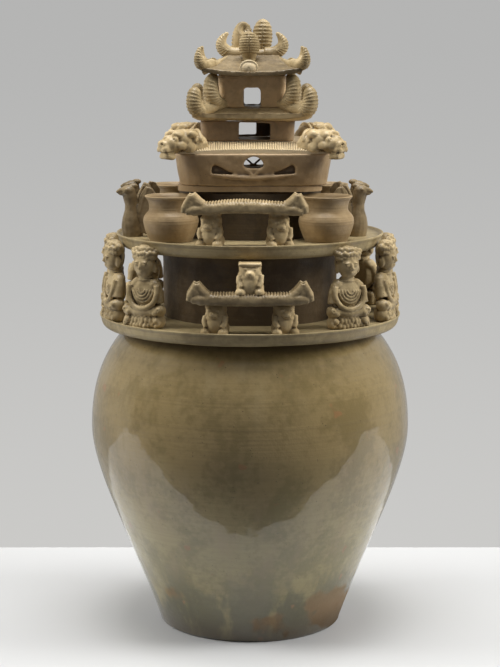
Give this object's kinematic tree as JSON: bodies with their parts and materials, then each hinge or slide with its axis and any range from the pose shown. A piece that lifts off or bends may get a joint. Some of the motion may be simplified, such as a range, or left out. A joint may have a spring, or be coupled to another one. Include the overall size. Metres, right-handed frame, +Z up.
{
  "type": "hunping funerary jar",
  "caption": "Round-shouldered green-glazed stoneware funerary jar whose neck carries ledges of small figures, gates, birds and jars, with a storeyed pavilion as its lift-off lid.",
  "frame": {"origin": "middle of the foot, on the face the jar stands on", "axes": "+Z up through the neck, -Y to the front with its gates, +X to the right seen from the front"},
  "size_m": [0.24, 0.24, 0.4571],
  "materials": {
    "jar_glaze": "gloss",
    "ledge_glaze": "gloss",
    "figure_glaze": "gloss",
    "roof_glaze": "gloss",
    "ridge_glaze": "gloss",
    "wall_glaze": "gloss"
  },
  "bodies": {
    "jar": {"jar_body": "jar_glaze", "lower_ledge": "ledge_glaze", "lower_neck": "ledge_glaze", "upper_ledge": "ledge_glaze", "upper_neck": "ledge_glaze", "seated_figure_front_right": "figure_glaze", "seated_figure_front_side_right": "figure_glaze", "seated_figure_back_side_right": "figure_glaze", "seated_figure_back_right": "figure_glaze", "seated_figure_front_left": "figure_glaze", "seated_figure_front_side_left": "figure_glaze", "seated_figure_back_side_left": "figure_glaze", "seated_figure_back_left": "figure_glaze", "lower_gate_front_left_bear": "figure_glaze", "lower_gate_front_right_bear": "figure_glaze", "lower_gate_front_roof": "roof_glaze", "lower_gate_front_top_bear": "figure_glaze", "lower_gate_back_left_bear": "figure_glaze", "lower_gate_back_right_bear": "figure_glaze", "lower_gate_back_roof": "roof_glaze", "lower_gate_back_top_bear": "figure_glaze", "upper_gate_front_left_bear": "figure_glaze", "upper_gate_front_right_bear": "figure_glaze", "upper_gate_front_roof": "roof_glaze", "upper_gate_back_left_bear": "figure_glaze", "upper_gate_back_right_bear": "figure_glaze", "upper_gate_back_roof": "roof_glaze", "small_jar_front_right": "ledge_glaze", "small_jar_back_right": "ledge_glaze", "small_jar_front_left": "ledge_glaze", "small_jar_back_left": "ledge_glaze", "bird_front_right": "figure_glaze", "bird_back_right": "figure_glaze", "bird_front_left": "figure_glaze", "bird_back_left": "figure_glaze"},
    "pavilion_lid": {"lid_plate": "wall_glaze", "first_storey": "wall_glaze", "first_roof": "roof_glaze", "beast_front_right": "figure_glaze", "beast_back_right": "figure_glaze", "beast_front_left": "figure_glaze", "beast_back_left": "figure_glaze", "second_storey": "wall_glaze", "second_roof": "roof_glaze", "second_hip_front_right": "ridge_glaze", "second_hip_back_right": "ridge_glaze", "second_hip_front_left": "ridge_glaze", "second_hip_back_left": "ridge_glaze", "third_storey": "wall_glaze", "top_roof": "roof_glaze", "main_ridge": "ridge_glaze", "top_hip_front_right": "ridge_glaze", "top_hip_back_right": "ridge_glaze", "top_hip_front_left": "ridge_glaze", "top_hip_back_left": "ridge_glaze", "bud_front": "ridge_glaze", "bud_back_right": "ridge_glaze", "bud_back_left": "ridge_glaze", "front_boss": "ridge_glaze"}
  },
  "joints": [
    {"name": "lid_lift", "type": "slide", "parent": "jar", "child": "pavilion_lid", "axis": [0, 0, 1], "range_m": [0, 0.12]}
  ]
}
